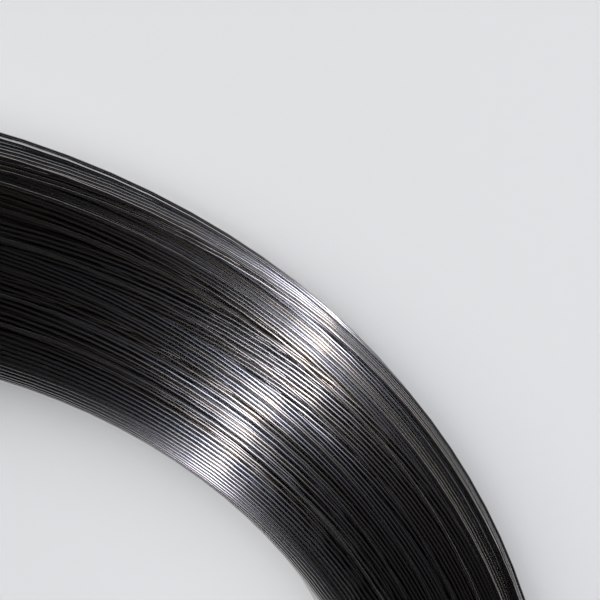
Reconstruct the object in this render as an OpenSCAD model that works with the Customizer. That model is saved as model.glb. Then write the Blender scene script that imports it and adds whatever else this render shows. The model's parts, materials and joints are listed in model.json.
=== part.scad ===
// Coil of bright drawn stainless steel wire, lying flat with its eye upright.
// One turned solid: the packed turns stand out of its section as rounded ridges
// on the top, the bottom, the outside and the wall of the eye.
// Millimetres. +Z is the coil's axis, and the origin is in the middle of the face it lies on.

/* [Wire] */
// Diameter of the wire
wire_d = 1.2; // [1:0.1:2.4]
// Least distance between the centres of two turns that lie side by side, in wire diameters
turn_spacing = 1.15; // [1.1:0.01:1.4]

/* [Coil] */
// Diameter of the eye, between the innermost turns
eye_d = 450; // [300:5:600]
// Thickness of the wound ring, from the eye to the outside
ring_t = 75; // [50:1:100]
// Height of the coil as it lies
coil_h = 50; // [46:1:90]

/* [Lay] */
// Rounding of the ring's edges beside the eye
eye_edge_r = 9; // [6:0.5:14]
// Rounding of the ring's outer edges
outer_edge_r = 19; // [12:0.5:21]
// Most that a loose turn lies inside the packed outline, on the top and the outside
loose_lay = 0.5; // [0:0.05:0.8]

/* [Hidden] */
steel = [0.62, 0.62, 0.61];

wire_r = wire_d / 2;
turn_pitch = wire_d * turn_spacing;
// Change of lay from one turn to the next, as an angle that spreads neighbours and never repeats
lay_step = 137.5;

// A ridge has a flat at its crest, where the turn bears on the ground or on a post in the eye,
// and one slope on each side of it, down to the floor between two ridges
ridge_angles = [-75, -25, 25, 75];
ridge_r = wire_r / cos(ridge_angles[2]);

// The turns' centres keep to a rounded rectangle, half a wire inside the ring's outline
inner_r = eye_d / 2 + wire_r;
outer_r = eye_d / 2 + ring_t - wire_r;
low_z = wire_r;
high_z = coil_h - wire_r;
eye_bend_r = eye_edge_r - wire_r;
outer_bend_r = outer_edge_r - wire_r;

// Where the straight sides of that rectangle end
eye_side_r = inner_r + eye_bend_r;
outer_side_r = outer_r - outer_bend_r;
eye_low_z = low_z + eye_bend_r;
eye_high_z = high_z - eye_bend_r;
outer_low_z = low_z + outer_bend_r;
outer_high_z = high_z - outer_bend_r;

// How far turn number i lies inside the packed outline, for a side or edge with this much loose lay
function lay_in(i, loose) = loose * (1 + sin(lay_step * i)) / 2;

// A turn is [r, z, angle]: its centre in the section and the way its ridge faces

// Turns along a straight side from a towards b, which all face one way
function side(a, b, facing, loose = 0) =
    let (count = floor(norm(b - a) / turn_pitch))
    [for (i = [0 : count - 1])
        let (centre = a + (b - a) * i / count - lay_in(i, loose) * [cos(facing), sin(facing)])
        [centre.x, centre.y, facing]];

// Turns round an edge of radius r about c, through a quarter turn from the angle given
function edge(c, r, from, loose = 0) =
    let (count = floor(45 / asin(turn_pitch / (2 * r))))
    [for (i = [0 : count - 1])
        let (facing = from + 90 * i / count)
        let (reach = r - lay_in(i, loose))
        [c.x + reach * cos(facing), c.y + reach * sin(facing), facing]];

// All turns that show on the section, anticlockwise from the foot of the eye
turns = concat(
    side([eye_side_r, low_z], [outer_side_r, low_z], 270),
    edge([outer_side_r, outer_low_z], outer_bend_r, 270),
    side([outer_r, outer_low_z], [outer_r, outer_high_z], 0, loose_lay),
    edge([outer_side_r, outer_high_z], outer_bend_r, 0, loose_lay),
    side([outer_side_r, high_z], [eye_side_r, high_z], 90, loose_lay),
    edge([eye_side_r, eye_high_z], eye_bend_r, 90),
    side([inner_r, eye_high_z], [inner_r, eye_low_z], 180),
    edge([eye_side_r, eye_low_z], eye_bend_r, 180)
);

// Outline of the wound ring: every turn's ridge in order, with a narrow floor between ridges
ring_outline = [
    for (turn = turns)
        for (angle = ridge_angles)
            [turn.x + ridge_r * cos(turn.z + angle), turn.y + ridge_r * sin(turn.z + angle)]
];

module wire_coil() {
    color(steel) rotate_extrude($fn = 180) polygon(ring_outline);
}

wire_coil();
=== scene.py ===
"""Dresses the turned coil as what it is: one length of bright drawn stainless steel wire, turn by turn."""

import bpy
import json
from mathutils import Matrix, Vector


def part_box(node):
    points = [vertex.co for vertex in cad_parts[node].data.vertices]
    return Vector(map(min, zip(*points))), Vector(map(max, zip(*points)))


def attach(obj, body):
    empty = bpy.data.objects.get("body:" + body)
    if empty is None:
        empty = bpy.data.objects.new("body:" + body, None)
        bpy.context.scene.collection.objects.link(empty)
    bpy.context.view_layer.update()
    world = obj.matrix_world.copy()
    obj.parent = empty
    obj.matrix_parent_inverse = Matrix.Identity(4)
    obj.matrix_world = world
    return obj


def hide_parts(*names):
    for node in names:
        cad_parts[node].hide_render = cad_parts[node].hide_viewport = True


bl_info = {
    "name": "Coil of stainless steel wire",
    "version": (1, 0, 0),
    "blender": (4, 5, 0),
    "location": "3D View > Sidebar > Wire Coil",
    "description": "Winds the turns of a wire coil over its turned core and sets up a plain studio",
    "category": "Object",
}

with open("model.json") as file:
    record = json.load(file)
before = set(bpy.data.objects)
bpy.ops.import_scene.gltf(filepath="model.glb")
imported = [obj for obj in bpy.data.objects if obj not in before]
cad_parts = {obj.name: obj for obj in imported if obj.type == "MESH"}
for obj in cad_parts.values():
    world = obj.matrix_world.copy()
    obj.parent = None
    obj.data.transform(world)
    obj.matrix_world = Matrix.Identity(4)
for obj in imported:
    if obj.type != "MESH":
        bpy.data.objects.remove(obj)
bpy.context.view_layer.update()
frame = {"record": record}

import json
import math

import bpy
import numpy as np
from bpy.props import FloatProperty, FloatVectorProperty, IntProperty, PointerProperty
from mathutils import Matrix, Vector

MM = 0.001
NODE = "wire_coil"
BODY = "root"
LOW, HIGH = (Vector(corner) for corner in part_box(NODE))
EYE = next(mount for mount in frame["record"]["mounts"] if mount["name"] == "eye")


def linear(code):
    """A colour written as an sRGB hex value, in the linear light that shaders take."""
    parts = [int(code[i : i + 2], 16) / 255 for i in (1, 3, 5)]
    return tuple(p / 12.92 if p <= 0.04045 else ((p + 0.055) / 1.055) ** 2.4 for p in parts)


class CoilSizes(bpy.types.PropertyGroup):
    """Sizes of the coil and its wire. What the frame holds comes from the frame."""

    wire_d: FloatProperty(
        name="Wire", description="Diameter of the wire", default=1.2 * MM, unit="LENGTH", precision=4
    )
    eye_r: FloatProperty(
        name="Eye", description="Radius of the eye", default=EYE["dims"]["r_mm"] * MM, unit="LENGTH"
    )
    outer_r: FloatProperty(
        name="Outside", description="Outer radius of the coil", default=HIGH.x, unit="LENGTH"
    )
    height: FloatProperty(
        name="Height", description="Height of the coil as it lies", default=HIGH.z, unit="LENGTH"
    )
    eye_edge_r: FloatProperty(
        name="Eye edge", description="Rounding of the edges beside the eye", default=9 * MM, unit="LENGTH"
    )
    outer_edge_r: FloatProperty(
        name="Outer edge", description="Rounding of the outer edges", default=19 * MM, unit="LENGTH"
    )


class CoilLay(bpy.types.PropertyGroup):
    """How the turns lie on each other."""

    seed: IntProperty(name="Seed", description="Draws another lay of the same kind", default=37)
    under_spacing: FloatProperty(
        name="Under spacing", description="Mean spacing of the under turns, in wire diameters", default=1.12
    )
    middle_spacing: FloatProperty(
        name="Middle spacing", description="Mean spacing of the middle turns, in wire diameters",
        default=1.22,
    )
    rim_spacing: FloatProperty(
        name="Rim spacing", description="Spacing of the loose turns outside, in wire diameters", default=1.8
    )
    loose_spacing: FloatProperty(
        name="Loose spacing", description="Spacing of the loose turns elsewhere, in wire diameters",
        default=1.2,
    )
    last_spacing: FloatProperty(
        name="Last spacing", description="Mean spacing of the last turns, in wire diameters", default=7
    )


class CoilFinish(bpy.types.PropertyGroup):
    """Colours of the wire and the stage."""

    cool_steel: FloatVectorProperty(
        name="Cool steel", description="Wire seen on its brighter turns", subtype="COLOR",
        default=linear("#bdbec4"),
    )
    warm_steel: FloatVectorProperty(
        name="Warm steel", description="Wire seen on its duller turns", subtype="COLOR",
        default=linear("#bdb5aa"),
    )
    # Painted shade: a dark steel colour for the core under the turns, standing in for the shade deep among
    # them
    shade_painted_steel: FloatVectorProperty(
        name="Deep steel", description="Turns deep inside, in the shade of the others", subtype="COLOR",
        default=linear("#3c3b3a"),
    )
    floor: FloatVectorProperty(
        name="Floor", description="Plain pale floor", subtype="COLOR", default=linear("#e3e4e5")
    )


class Outline:
    """Path of the wire's centres round the ring's section, as places at a distance along it."""

    def __init__(self, sizes, step=0.25 * MM):
        wire_r = sizes.wire_d / 2
        low_r, high_r = sizes.eye_r + wire_r, sizes.outer_r - wire_r
        low_z, high_z = wire_r, sizes.height - wire_r
        eye_bend, outer_bend = sizes.eye_edge_r - wire_r, sizes.outer_edge_r - wire_r
        corners = (
            (high_r - outer_bend, low_z + outer_bend, outer_bend, -90),
            (high_r - outer_bend, high_z - outer_bend, outer_bend, 0),
            (low_r + eye_bend, high_z - eye_bend, eye_bend, 90),
            (low_r + eye_bend, low_z + eye_bend, eye_bend, 180),
        )
        points, facings = [], []
        for i, (r, z, bend, start) in enumerate(corners):
            turn = np.radians(np.linspace(start, start + 90, max(2, int(bend * math.pi / 2 / step))))
            points.append(np.stack([r + bend * np.cos(turn), z + bend * np.sin(turn)], 1))
            facings.append(turn)
            following = corners[(i + 1) % 4]
            end = math.radians(start + 90)
            first = points[-1][-1]
            last = np.array(following[:2]) + following[2] * np.array([math.cos(end), math.sin(end)])
            count = max(2, int(np.linalg.norm(last - first) / step))
            share = np.linspace(0, 1, count)[1:-1, None]
            points.append(first + (last - first) * share)
            facings.append(np.full(count - 2, end))
        points = np.concatenate(points)
        points = np.concatenate([points, points[:1]])
        facings = np.concatenate(facings)
        facings = np.concatenate([facings, facings[:1] + 2 * math.pi])
        self.at = np.concatenate([[0], np.cumsum(np.linalg.norm(np.diff(points, axis=0), axis=1))])
        self.length = self.at[-1]
        self.points = points
        self.facings = facings

    def place(self, along, inset):
        """Radius and height of a wire's centre, inset from the outline."""
        along = along % self.length
        columns = (*self.points.T, self.facings)
        r, z, facing = (np.interp(along, self.at, column) for column in columns)
        return r - inset * np.cos(facing), z - inset * np.sin(facing)


# Samples round one turn, and cells of the height map in each wire diameter
TURN_STEPS = 128
CELLS_PER_WIRE = 16
# Least spacing of turns that lie side by side, in wire diameters, with a hair of air between them
LEAST_SPACING = 1.05
# Waves that neighbouring turns share, in wire diameters, from one wave a turn upwards
SHARED_WAVES = np.array((2.6, 1.6, 0.6))
# Waves of a turn's own, in wire diameters, from two waves a turn upwards
OWN_WAVES = np.full(4, 0.12)
# Steps to each side over which stiff wire bridges what it lies on, and over which that is smoothed
BRIDGE_STEPS = 3
BRIDGE_EASE = 2
# First and last turns of a layer that don't wander, so that layers don't run into each other
STEADY_TURNS = 6
# Share of a turn, at its end, in which it moves over to where the next one starts
MOVE_OVER = 0.3
# Steps to each side over which the run of a layer is smoothed
RUN_STEPS = 4
# Room that the turns leave at the foot of the outside, where the outline starts, in wire diameters
SEAM_ROOM = 1.5
# Where the turns of a bundle sway across the ring: by how much, in how many waves a turn, about which
# azimuth, and at which place along the outline, fading over which width
OUTER_SWAY = (-2.5 * MM, 2, math.radians(54), 70 * MM, 40 * MM)
RIM_SWAY = (6 * MM, 3, math.radians(66), 50 * MM, 80 * MM)
CROSSING_SWAY = (8 * MM, 2, math.radians(54), 80 * MM, 80 * MM)
INNER_SWAY = (4.5 * MM, 3, math.radians(21), 95 * MM, 60 * MM)
# Edges of the bundles that cross over the outer turns, at the rim and on top of the ring, where the inner
# turns cover the second of them, and the edges of the last turns over them all
RIM = (38 * MM, 61 * MM)
CROSSING = (73 * MM, 97 * MM)
INNER_EDGE = 84 * MM
LAST = (8 * MM, 114 * MM)


def smooth_draws(rng, turns, kinds, reach):
    """Random numbers of unit size by turn and kind, which change slowly over so many turns."""
    rate = np.fft.fftfreq(turns)[:, None]
    kept = np.exp(-2 * (math.pi * reach * rate) ** 2)
    drawn = np.fft.ifft(np.fft.fft(rng.normal(size=(turns, kinds)), axis=0) * kept, axis=0).real
    return drawn / drawn.std(0)


def in_order(values):
    """The nearest numbers to these that never fall from one to the next."""
    means, counts = [], []
    for value in values:
        mean, count = value, 1
        while means and means[-1] > mean:
            last, size = means.pop(), counts.pop()
            mean = (mean * count + last * size) / (count + size)
            count += size
        means.append(mean)
        counts.append(count)
    return np.repeat(means, counts)


def ease(share):
    """A share from 0 to 1 that starts and ends gently."""
    share = np.clip(share, 0, 1)
    return share * share * (3 - 2 * share)


def eased_run(values, reach):
    """Numbers along the wire, smoothed over so many steps to each side."""
    tail = 3 * reach
    weights = np.exp(-0.5 * (np.arange(-tail, tail + 1) / reach) ** 2)
    return np.convolve(np.pad(values, tail, "edge"), weights / weights.sum(), "valid")


def layer(rng, start, end, spacing, wire_d, waves=1.0, reach=8, sway=(0, 1, 0, 0, 1)):
    """Places along the outline of turns that lie side by side from start to end, by turn and step, with
    their spacing at either end. Bunches of turns wander together, and a turn ends where the next starts."""
    first, last = spacing
    mean = (first + last) / 2
    turns = max(3, round(abs(end - start) / (mean * wire_d)))
    share = np.arange(TURN_STEPS + 1) / TURN_STEPS
    angle = share * 2 * math.pi
    number = np.arange(turns)[:, None]
    done = (number + share) / turns
    plain = start + (end - start) * (first * done + (last - first) * done**2 / 2) / mean
    wander = np.zeros_like(plain)
    for wave in (np.cos, np.sin):
        shared = smooth_draws(rng, turns + 1, len(SHARED_WAVES), min(reach, turns / 4))
        shared = shared * SHARED_WAVES * waves
        own = rng.normal(size=(turns + 1, len(OWN_WAVES))) * OWN_WAVES
        for draws, lowest in ((shared, 1), (own, 2)):
            mixed = draws[:-1, None] + (draws[1:] - draws[:-1])[:, None] * ease(share)[None, :, None]
            numbers = np.arange(lowest, lowest + draws.shape[1])
            wander += (mixed * wave(angle[:, None] * numbers)).sum(2) * wire_d
    wander *= ease((number + share) / STEADY_TURNS) * ease((turns - number - share) / STEADY_TURNS)
    size, count, azimuth, along, width = sway
    wander += size * ease(1 - np.abs(plain - along) / width) * np.sin(count * (angle - azimuth))
    way = math.copysign(1, end - start)
    room = LEAST_SPACING * wire_d * np.arange(turns)
    wanted = way * (plain + wander)
    laid = np.stack([in_order(column - room) + room for column in wanted.T], 1) * way
    laid[:-1] += (laid[1:, :1] - laid[:-1, -1:]) * ease((share - 1) / MOVE_OVER + 1)
    run = eased_run(np.append(laid[:, :-1].ravel(), laid[-1, -1]), RUN_STEPS)
    return np.column_stack([run[:-1].reshape(turns, -1), run[TURN_STEPS::TURN_STEPS]])


def wind(outline, sizes, lay):
    """The whole wire, turn by turn: its place along the section's outline and its height over the core, by
    turn and step, and how many turns each layer has. Each turn lies on those that were laid before it."""
    rng = np.random.default_rng(lay.seed)
    wire_d = sizes.wire_d
    around = outline.length
    edge = SEAM_ROOM * wire_d
    rim, loose = lay.rim_spacing, lay.loose_spacing
    layers = (
        layer(rng, edge, around - edge, (lay.under_spacing,) * 2, wire_d),
        layer(rng, around - edge, edge, (lay.middle_spacing,) * 2, wire_d),
        layer(rng, edge, INNER_EDGE, (rim, loose), wire_d, waves=0.6, reach=7, sway=OUTER_SWAY),
        layer(rng, *RIM, (rim, loose), wire_d, waves=0.08, reach=5, sway=RIM_SWAY),
        layer(rng, *CROSSING, (loose,) * 2, wire_d, waves=0.05, reach=5, sway=CROSSING_SWAY),
        layer(rng, INNER_EDGE, around - edge, (loose,) * 2, wire_d, waves=0.6, reach=7, sway=INNER_SWAY),
        layer(rng, around + LAST[0], around + LAST[1], (lay.last_spacing,) * 2, wire_d, waves=0.3, reach=3),
    )
    # The last turn of a layer climbs to the start of the next one in its second half
    climb = ease(2.2 * np.arange(TURN_STEPS + 1) / TURN_STEPS - 1)
    for before, after in zip(layers[:-1], layers[1:]):
        step = after[0, 0] - before[-1, -1]
        before[-1] += (step - around * round(step / around)) * climb

    # The bed is how high a wire's centre has to lie over the core, by step of the turn and cell along the
    # outline, to rest on the turns laid so far
    cells = int(around / wire_d * CELLS_PER_WIRE)
    cell = around / cells
    reach = np.arange(-CELLS_PER_WIRE, CELLS_PER_WIRE + 2)
    bed = np.zeros((TURN_STEPS, cells))
    steps = np.arange(TURN_STEPS)
    along = np.concatenate(layers)[:, :-1]
    height = np.empty_like(along)
    pad = 3 * BRIDGE_EASE + BRIDGE_STEPS
    tail = np.zeros(pad)
    for turn, places in enumerate(along % around / cell):
        first = np.floor(places).astype(int)
        share = places - first
        rest = bed[steps, first % cells] * (1 - share) + bed[steps, (first + 1) % cells] * share
        run = np.concatenate([tail, rest, np.repeat(rest[-1:], pad)])
        run = np.max([np.roll(run, step) for step in range(-BRIDGE_STEPS, BRIDGE_STEPS + 1)], axis=0)
        height[turn] = np.maximum(eased_run(run, BRIDGE_EASE)[pad:-pad], rest)
        tail = height[turn, -pad:]
        apart = (reach - share[:, None]) * cell
        rise = np.sqrt(np.maximum(wire_d**2 - apart**2, 0))
        near = (first[:, None] + reach) % cells
        lifted = np.where(rise > 0, height[turn, :, None] + rise, 0)
        bed[steps[:, None], near] = np.maximum(bed[steps[:, None], near], lifted)
    return along, height, [len(turns) for turns in layers]


# Share of its row in the UV map that a turn leaves free on either side
ROW_MARGIN = 0.06


def tube(name, centres, sides, wire_r, tones):
    """A round wire through the centres, as one closed mesh with its turns in rows of a UV map."""
    count = len(centres)
    ahead = np.gradient(centres, axis=0)
    ahead /= np.linalg.norm(ahead, axis=1)[:, None]
    out = np.cross(ahead, (0, 0, 1))
    out /= np.linalg.norm(out, axis=1)[:, None]
    over = np.cross(out, ahead)
    angle = np.arange(sides) / sides * 2 * math.pi
    across, upward = np.cos(angle), np.sin(angle)
    rings = centres[:, None] + wire_r * (out[:, None] * across[:, None] + over[:, None] * upward[:, None])
    points = rings.reshape(-1, 3)

    ring = np.arange(count - 1)[:, None] * sides
    side = np.arange(sides)[None]
    after = (side + 1) % sides
    quads = np.stack([ring + side, ring + sides + side, ring + sides + after, ring + after], 2)
    quads = quads.reshape(-1, 4)
    mesh = bpy.data.meshes.new(name)
    start_cap = np.arange(sides)
    end_cap = (count - 1) * sides + np.arange(sides)[::-1]
    mesh.vertices.add(len(points))
    mesh.vertices.foreach_set("co", points.astype(np.float32).ravel())
    corners = np.concatenate([quads.ravel(), start_cap, end_cap])
    faces = len(quads) + 2
    mesh.loops.add(len(corners))
    mesh.loops.foreach_set("vertex_index", corners.astype(np.int32))
    mesh.polygons.add(faces)
    starts = np.concatenate([np.arange(len(quads)) * 4, [len(quads) * 4, len(quads) * 4 + sides]])
    mesh.polygons.foreach_set("loop_start", starts.astype(np.int32))
    smooth = np.ones(faces, bool)
    smooth[-2:] = False
    mesh.polygons.foreach_set("use_smooth", smooth)

    # Metres along the wire and the place across it, so that a pattern follows the wire
    length = np.concatenate([[0], np.cumsum(np.linalg.norm(np.diff(centres, axis=0), axis=1))])
    straight = np.empty((count, sides, 3))
    straight[:, :, 0] = length[:, None]
    straight[:, :, 1] = wire_r * across
    straight[:, :, 2] = wire_r * upward
    mesh.attributes.new("wire_coord", "FLOAT_VECTOR", "POINT").data.foreach_set(
        "vector", straight.astype(np.float32).ravel()
    )
    tone = np.interp(np.arange(count) / TURN_STEPS, np.arange(len(tones)) + 0.5, tones)
    mesh.attributes.new("turn_tone", "FLOAT", "POINT").data.foreach_set(
        "value", np.repeat(tone, sides).astype(np.float32)
    )

    # Each turn is one row of the map, a little apart from the next
    rows = (count - 1) / TURN_STEPS
    row = np.floor(np.arange(count - 1) / TURN_STEPS)
    step = np.arange(count - 1) % TURN_STEPS
    across_u = np.stack([step, step + 1], 1) / TURN_STEPS
    up_v = np.stack([np.arange(sides), np.arange(sides) + 1], 1) / sides
    places = np.zeros((count - 1, sides, 4, 2))
    for corner, (u, v) in enumerate(((0, 0), (1, 0), (1, 1), (0, 1))):
        places[:, :, corner, 0] = across_u[:, u][:, None]
        in_row = ROW_MARGIN + (1 - 2 * ROW_MARGIN) * up_v[:, v]
        places[:, :, corner, 1] = (row[:, None] + in_row[None]) / math.ceil(rows)
    ends = np.zeros((2 * sides, 2))
    mapped = np.concatenate([places.reshape(-1, 2), ends])
    flat = mesh.uv_layers.new(name="OFBake", do_init=False)
    flat.uv.foreach_set("vector", mapped.astype(np.float32).ravel())
    mesh.update(calc_edges=True)
    mesh.validate()
    piece = bpy.data.objects.new(name, mesh)
    bpy.context.scene.collection.objects.link(piece)
    return piece


def add_node(tree, kind, inputs=None, **settings):
    """Adds a node with its settings, and sets or links its inputs by name or number."""
    node = tree.nodes.new(kind)
    for name, value in settings.items():
        setattr(node, name, value)
    for key, value in (inputs or {}).items():
        if isinstance(value, bpy.types.NodeSocket):
            tree.links.new(value, node.inputs[key])
        else:
            node.inputs[key].default_value = value
    return node


def new_material(name):
    """An empty node material and its output."""
    material = bpy.data.materials.new(name)
    material.use_nodes = True
    material.node_tree.nodes.clear()
    output = add_node(material.node_tree, "ShaderNodeOutputMaterial")
    return material, material.node_tree, output


def bright_drawn_steel(finish):
    """Austenitic stainless steel, bright drawn through a die: a clean grey mirror with fine lines along the
    wire, so each turn shows one sharp streak and turns differ a little in tint and gloss."""
    material, tree, output = new_material("Bright drawn stainless steel")
    tone = add_node(tree, "ShaderNodeAttribute", attribute_name="turn_tone").outputs["Fac"]
    coord = add_node(tree, "ShaderNodeAttribute", attribute_name="wire_coord").outputs["Vector"]
    # Draw lines about 0.25 mm apart round the wire and 150 mm long
    line_scale = (1 / (150 * MM), 1 / (0.25 * MM), 1 / (0.25 * MM))
    lines_at = add_node(
        tree, "ShaderNodeVectorMath", {0: coord, 1: line_scale}, operation="MULTIPLY"
    ).outputs[0]
    lines = add_node(
        tree, "ShaderNodeTexNoise", {"Vector": lines_at, "Scale": 1.0, "Detail": 0.0}
    ).outputs["Fac"]
    # Clouds of oil and handling marks about 60 mm long and 3 mm wide
    cloud_scale = (1 / (60 * MM), 1 / (3 * MM), 1 / (3 * MM))
    clouds_at = add_node(
        tree, "ShaderNodeVectorMath", {0: coord, 1: cloud_scale}, operation="MULTIPLY"
    ).outputs[0]
    clouds = add_node(
        tree, "ShaderNodeTexNoise", {"Vector": clouds_at, "Scale": 1.0, "Detail": 3.0}
    ).outputs["Fac"]
    colour = add_node(
        tree, "ShaderNodeMix",
        {"Factor": tone, "A": (*finish.cool_steel, 1), "B": (*finish.warm_steel, 1)},
        data_type="RGBA",
    )
    marks = add_node(tree, "ShaderNodeMath", {0: lines, 1: clouds}, operation="ADD").outputs[0]
    gloss = add_node(tree, "ShaderNodeMath", {0: marks, 1: tone}, operation="ADD").outputs[0]
    rough = add_node(
        tree, "ShaderNodeMapRange",
        {"Value": gloss, "From Min": 0.6, "From Max": 2.4, "To Min": 0.05, "To Max": 0.1},
    ).outputs["Result"]
    relief = add_node(
        tree, "ShaderNodeBump", {"Height": lines, "Strength": 0.02, "Distance": 0.02 * MM}
    ).outputs["Normal"]
    shader = add_node(
        tree, "ShaderNodeBsdfPrincipled",
        {"Base Color": colour.outputs["Result"], "Metallic": 1.0, "Roughness": rough, "Normal": relief},
    )
    tree.links.new(shader.outputs[0], output.inputs["Surface"])
    return material


def shade_painted_steel(finish):
    """The same steel deep between the turns, where hardly any light comes back, with that shade painted
    into its colour: dark and uneven.
    """
    material, tree, output = new_material("Drawn stainless steel with painted shade")
    place = add_node(tree, "ShaderNodeTexCoord").outputs["Object"]
    mottle = add_node(
        tree, "ShaderNodeTexNoise", {"Vector": place, "Scale": 1 / (4 * MM), "Detail": 3.0}
    ).outputs["Fac"]
    rough = add_node(
        tree, "ShaderNodeMapRange", {"Value": mottle, "To Min": 0.35, "To Max": 0.55}
    ).outputs["Result"]
    shader = add_node(
        tree, "ShaderNodeBsdfPrincipled",
        {"Base Color": (*finish.shade_painted_steel, 1), "Metallic": 1.0, "Roughness": rough},
    )
    tree.links.new(shader.outputs[0], output.inputs["Surface"])
    return material


def pale_floor(finish):
    """Smooth matt board: even and pale, with a faint tooth."""
    material, tree, output = new_material("Matt white board")
    place = add_node(tree, "ShaderNodeTexCoord").outputs["Object"]
    tooth = add_node(
        tree, "ShaderNodeTexNoise", {"Vector": place, "Scale": 1 / (3 * MM), "Detail": 2.0}
    ).outputs["Fac"]
    relief = add_node(
        tree, "ShaderNodeBump", {"Height": tooth, "Strength": 0.05, "Distance": 0.2 * MM}
    ).outputs["Normal"]
    shader = add_node(
        tree, "ShaderNodeBsdfPrincipled",
        {"Base Color": (*finish.floor, 1), "Roughness": 0.8, "Normal": relief},
    )
    tree.links.new(shader.outputs[0], output.inputs["Surface"])
    return material


def belongs(piece, material):
    """Gives a finished piece its material and ties it to the coil."""
    piece.data.materials.append(material)
    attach(piece, BODY)
    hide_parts(NODE)


# Sides of the wire's section, and pieces that each layer is divided into
LAYERS = (
    ("under_turns", 5, 2),
    ("middle_turns", 6, 2),
    ("outer_turns", 8, 1),
    ("rim_turns", 8, 1),
    ("crossing_turns", 8, 1),
    ("inner_turns", 8, 2),
    ("last_turns", 8, 1),
)


def cover_heights(outline, along, height, cells=80):
    """Height of the outermost wire over the core, at even places round the outline."""
    cell = (along % outline.length / outline.length * cells).astype(int)
    top = np.zeros(cells)
    np.maximum.at(top, cell.ravel(), height.ravel())
    ring = np.tile(top, 3)
    ring = np.max([np.roll(ring, step) for step in range(-3, 4)], axis=0)
    ring = eased_run(ring, 2)[cells - 1 : 2 * cells + 1]
    places = (np.arange(-1, cells + 1) + 0.5) / cells * outline.length
    return places, ring


def turned_core(context, r, z):
    """The dark inside of the ring under the turns, spun from its section: a sheet of painted shade that
    stands in for the shaded wire deep inside.
    """
    bpy.ops.object.select_all(action="DESELECT")
    mesh = bpy.data.meshes.new("painted_shade_core")
    keep = slice(None, None, 5)
    section = [(a, 0, b) for a, b in zip(r[keep], z[keep])]
    count = len(section)
    mesh.from_pydata(section, [(i, (i + 1) % count) for i in range(count)], [])
    piece = bpy.data.objects.new("painted_shade_core", mesh)
    context.scene.collection.objects.link(piece)
    context.view_layer.objects.active = piece
    piece.select_set(True)
    bpy.ops.object.mode_set(mode="EDIT")
    bpy.ops.mesh.select_all(action="SELECT")
    bpy.ops.mesh.spin(steps=128, angle=2 * math.pi, center=(0, 0, 0), axis=(0, 0, 1))
    bpy.ops.mesh.select_all(action="SELECT")
    bpy.ops.mesh.remove_doubles(threshold=0.01 * MM)
    bpy.ops.mesh.normals_make_consistent(inside=False)
    bpy.ops.object.mode_set(mode="OBJECT")
    bpy.ops.object.shade_smooth()
    piece.select_set(False)
    return piece


class COIL_OT_wire_turns(bpy.types.Operator):
    """Wind the wire, layer on layer, in one run"""

    bl_idname = "wire_coil.wire_turns"
    bl_label = "Wire turns"

    def execute(self, context):
        scene = context.scene
        sizes, lay, finish = scene.coil_sizes, scene.coil_lay, scene.coil_finish
        outline = Outline(sizes)
        along, height, counts = wind(outline, sizes, lay)
        cover = cover_heights(outline, along, height)
        inset = np.interp(along % outline.length, *cover) - height
        r, z = outline.place(along, np.maximum(inset, 0))
        angle = np.arange(TURN_STEPS) / TURN_STEPS * 2 * math.pi
        centres = np.stack([r * np.cos(angle), r * np.sin(angle), z], 2).reshape(-1, 3)
        tones = np.random.default_rng(lay.seed + 1).uniform(size=len(along))
        steel = bright_drawn_steel(finish)
        first = 0
        for (name, sides, parts), count in zip(LAYERS, counts):
            bounds = np.linspace(first, first + count, parts + 1).astype(int)
            for i, (start, end) in enumerate(zip(bounds[:-1], bounds[1:])):
                run = centres[start * TURN_STEPS : end * TURN_STEPS + 1]
                belongs(tube(f"{name}_{i + 1}", run, sides, sizes.wire_d / 2, tones[start:end]), steel)
            first += count
        # A core of painted shade under all the turns, so that the gaps between them show dark
        depths = outline.at[:-1]
        inset = np.interp(depths, *cover) + sizes.wire_d / 2
        belongs(turned_core(context, *outline.place(depths, inset)), shade_painted_steel(finish))
        return {"FINISHED"}


# The photograph's place relative to the coil, and a lens of that view's width
CAMERA_PLACE = Vector((75.0, 291.8, 360.4)) * MM
CAMERA_AIM = Vector((173.8, 236.5, 50.0)) * MM
CAMERA_UP = Vector((0.016, 0.985, -0.17))
CAMERA_LENS = 60
FLOOR_SIZE = 12.0
# Middle of the bright streak across the turns, the way out from the axis there and the way of the wire
STREAK_PLACE = Vector((170, 204.5, 50)) * MM
STREAK_OUT = Vector((170, 204.5, 0)).normalized()
STREAK_ALONG = Vector((-204.5, 170, 0)).normalized()
# Distance of the softboxes from the streak
SOFTBOX_DISTANCE = 1.1
# Azimuths, in degrees, of the window and of the room's pale wall
WINDOW_AZIMUTH = 140
WALL_AZIMUTH = 160


def aimed(name, data, place, aim, up):
    """A lamp or camera at a place, turned to look at another."""
    thing = bpy.data.objects.new(name, data)
    back = (place - aim).normalized()
    right = up.cross(back).normalized()
    above = back.cross(right)
    turn = Matrix((right, above, back)).transposed().to_4x4()
    thing.matrix_world = Matrix.Translation(place) @ turn
    bpy.context.scene.collection.objects.link(thing)
    return thing


def streak_way(outward):
    """Direction from the streak to a lamp that shows there on every turn, and how far out it leans."""
    view = (CAMERA_PLACE - STREAK_PLACE).normalized()
    flat = Vector((-view.x, -view.y, 0)) + outward * STREAK_OUT
    return Vector((flat.x, flat.y, math.sqrt(1 - flat.length_squared)))


def level_way(azimuth):
    """Level direction out from the coil's axis at an azimuth in degrees."""
    return Vector((math.cos(math.radians(azimuth)), math.sin(math.radians(azimuth)), 0))


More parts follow.
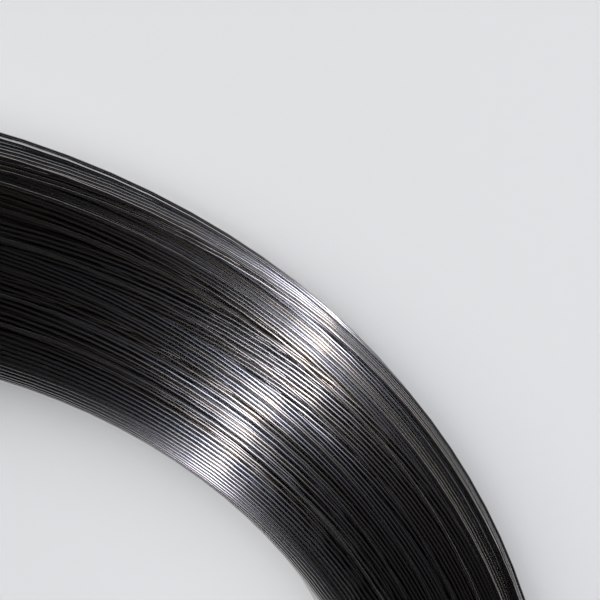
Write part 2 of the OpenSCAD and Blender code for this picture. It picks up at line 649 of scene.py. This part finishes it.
def fade_from_middle(lamp, across, along):
    """Make a lamp brightest in its middle. At one step from there it has fallen to under half. There are so
    many steps to its width and its height, and it is even along a side with none."""
    lamp.use_nodes = True
    tree = lamp.node_tree
    tree.nodes.clear()
    spot = add_node(tree, "ShaderNodeNewGeometry").outputs["Parametric"]
    aside = add_node(
        tree, "ShaderNodeVectorMath", {0: spot, 1: (0.5, 0.5, 0)}, operation="SUBTRACT"
    ).outputs[0]
    falls = add_node(
        tree, "ShaderNodeVectorMath", {0: aside, 1: (across, along, 0)}, operation="MULTIPLY"
    ).outputs[0]
    square = add_node(
        tree, "ShaderNodeVectorMath", {0: falls, 1: falls}, operation="DOT_PRODUCT"
    ).outputs["Value"]
    more = add_node(tree, "ShaderNodeMath", {0: square, 1: 1.0}, operation="ADD").outputs[0]
    level = add_node(tree, "ShaderNodeMath", {0: more, 1: -1.2}, operation="POWER").outputs[0]
    face = add_node(tree, "ShaderNodeEmission", {"Strength": level})
    output = add_node(tree, "ShaderNodeOutputLight")
    tree.links.new(face.outputs[0], output.inputs["Surface"])


def softbox(name, way, across, size, radiance, colour):
    """A lamp over the streak, in this direction from it, with its face's size, brightness and colour."""
    lamp = bpy.data.lights.new(name, "AREA")
    lamp.shape = "RECTANGLE"
    lamp.size, lamp.size_y = size
    lamp.energy = radiance * math.pi * size[0] * size[1]
    lamp.color = linear(colour)
    place = STREAK_PLACE + SOFTBOX_DISTANCE * way
    aimed(name, lamp, place, STREAK_PLACE, across).visible_camera = False
    return lamp


def studio_world():
    """A plain dim room with a pale backdrop where it meets the floor, and a pale wall on one side."""
    world = bpy.data.worlds.new("Studio")
    world.use_nodes = True
    tree = world.node_tree
    tree.nodes.clear()
    way = add_node(tree, "ShaderNodeTexCoord").outputs["Generated"]
    up = add_node(tree, "ShaderNodeSeparateXYZ", {0: way}).outputs["Z"]
    backdrop = add_node(
        tree, "ShaderNodeMapRange",
        {"Value": up, "From Min": 0.0, "From Max": 0.16, "To Min": 0.7, "To Max": 0.012},
        interpolation_type="SMOOTHSTEP",
    ).outputs["Result"]
    facing = add_node(
        tree, "ShaderNodeVectorMath", {0: way, 1: level_way(WALL_AZIMUTH)}, operation="DOT_PRODUCT"
    ).outputs["Value"]
    wall = add_node(
        tree, "ShaderNodeMapRange",
        {"Value": facing, "From Min": 0.2, "From Max": 1.0, "To Min": 0.0, "To Max": 0.6},
        interpolation_type="SMOOTHSTEP",
    ).outputs["Result"]
    level = add_node(tree, "ShaderNodeMath", {0: backdrop, 1: wall}, operation="MAXIMUM").outputs[0]
    back = add_node(tree, "ShaderNodeBackground", {"Color": (1, 1, 1, 1), "Strength": level})
    output = add_node(tree, "ShaderNodeOutputWorld")
    tree.links.new(back.outputs[0], output.inputs["Surface"])
    return world


class COIL_OT_stage(bpy.types.Operator):
    """Set the floor, lamps, surroundings and camera"""

    bl_idname = "wire_coil.stage"
    bl_label = "Stage"

    def execute(self, context):
        scene = context.scene
        bpy.ops.object.select_all(action="DESELECT")
        bpy.ops.mesh.primitive_plane_add(size=FLOOR_SIZE, location=(0, 0, 0))
        floor = context.object
        floor.name = "floor"
        floor.data.materials.append(pale_floor(scene.coil_finish))

        way = streak_way(0.25)
        key = softbox("key", way, STREAK_ALONG.cross(way), (1.0, 1.2), 7, "#eef1ff")
        fade_from_middle(key, 27, 0)
        way = streak_way(0.85)
        softbox("rim", way, STREAK_ALONG.cross(way), (0.05, 0.2), 8, "#ffe6cc")
        window = bpy.data.lights.new("window", "SUN")
        window.angle = math.radians(70)
        window.energy = 11
        fade_from_middle(window, 5, 5)
        way = level_way(WINDOW_AZIMUTH) + Vector((0, 0, 1.2))
        aimed("window", window, 3.0 * way, Vector((0, 0, 0)), Vector((0, 0, 1))).visible_camera = False

        scene.world = studio_world()
        lens = bpy.data.cameras.new("camera")
        lens.lens = CAMERA_LENS
        lens.clip_start = 0.01
        scene.camera = aimed("camera", lens, CAMERA_PLACE, CAMERA_AIM, CAMERA_UP)
        scene.view_settings.view_transform = "Standard"
        return {"FINISHED"}


class COIL_PT_panel(bpy.types.Panel):
    """Lists the steps that dress the coil"""

    bl_idname = "COIL_PT_panel"
    bl_label = "Wire Coil"
    bl_space_type = "VIEW_3D"
    bl_region_type = "UI"
    bl_category = "Wire Coil"

    def draw(self, context):
        for part in ("sizes", "lay", "finish"):
            group = getattr(context.scene, "coil_" + part)
            for name in group.__annotations__:
                self.layout.prop(group, name)
        for operator in OPERATORS:
            self.layout.operator(operator.bl_idname)


GROUPS = (("coil_sizes", CoilSizes), ("coil_lay", CoilLay), ("coil_finish", CoilFinish))
OPERATORS = (COIL_OT_wire_turns, COIL_OT_stage)


def register():
    for name, group in GROUPS:
        bpy.utils.register_class(group)
        setattr(bpy.types.Scene, name, PointerProperty(type=group))
    for operator in OPERATORS:
        bpy.utils.register_class(operator)
    bpy.utils.register_class(COIL_PT_panel)


def unregister():
    bpy.utils.unregister_class(COIL_PT_panel)
    for operator in reversed(OPERATORS):
        bpy.utils.unregister_class(operator)
    for name, group in reversed(GROUPS):
        delattr(bpy.types.Scene, name)
        bpy.utils.unregister_class(group)


def main():
    register()
    bpy.ops.wire_coil.wire_turns()
    bpy.ops.wire_coil.stage()


if __name__ == "__main__":
    main()
